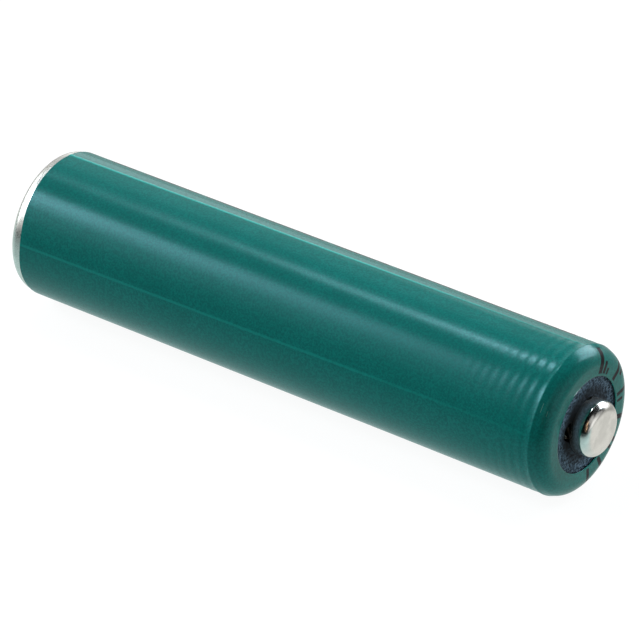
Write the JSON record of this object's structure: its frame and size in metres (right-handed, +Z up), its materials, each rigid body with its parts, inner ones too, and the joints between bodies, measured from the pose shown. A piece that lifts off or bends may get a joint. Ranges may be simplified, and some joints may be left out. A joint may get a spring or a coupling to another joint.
{
  "type": "cylindrical battery cell",
  "caption": "Small round rechargeable cell lying on its side: shrink-sleeved steel can with a vented button cap, a spring-loaded vent valve and a wound electrode roll inside.",
  "frame": {"origin": "centre of the flat negative contact face, on the cell's axis", "axes": "+X along the cell's axis from the negative face to the positive button, +Z up as the cell lies on its side"},
  "size_m": [0.0445, 0.0102, 0.0102],
  "materials": {
    "teal_pvc": "satin",
    "navy_fibre": "matte",
    "cap_nickel": "polished",
    "spring_steel": "satin",
    "valve_steel": "satin",
    "seal_rubber": "matte",
    "cover_steel": "satin",
    "nylon_black": "satin",
    "can_nickel": "satin",
    "nickel_strip": "satin",
    "insulator_white": "matte",
    "nickel_hydroxide": "matte",
    "separator_felt": "matte",
    "hydride_alloy": "matte"
  },
  "bodies": {
    "cell": {"shrink_sleeve": "teal_pvc", "fibre_washer": "navy_fibre", "positive_cap": "cap_nickel", "vent_spring": "spring_steel", "sealing_cover": "cover_steel", "insulating_gasket": "nylon_black", "cell_can": "can_nickel", "positive_lead": "nickel_strip", "upper_insulator": "insulator_white", "positive_collector": "nickel_strip", "positive_edge_strip": "nickel_strip", "positive_electrode": "nickel_hydroxide", "inner_separator": "separator_felt", "outer_separator": "separator_felt", "negative_alloy_inner": "hydride_alloy", "negative_core": "nickel_strip", "negative_alloy_outer": "hydride_alloy", "negative_collector": "nickel_strip"},
    "vent_valve": {"vent_valve_plate": "valve_steel", "vent_valve_seal": "seal_rubber"}
  },
  "joints": [
    {"name": "vent_lift", "type": "slide", "parent": "cell", "child": "vent_valve", "axis": [1, 0, 0], "range_m": [0, 0.0003], "deforming": ["vent_spring"]}
  ]
}
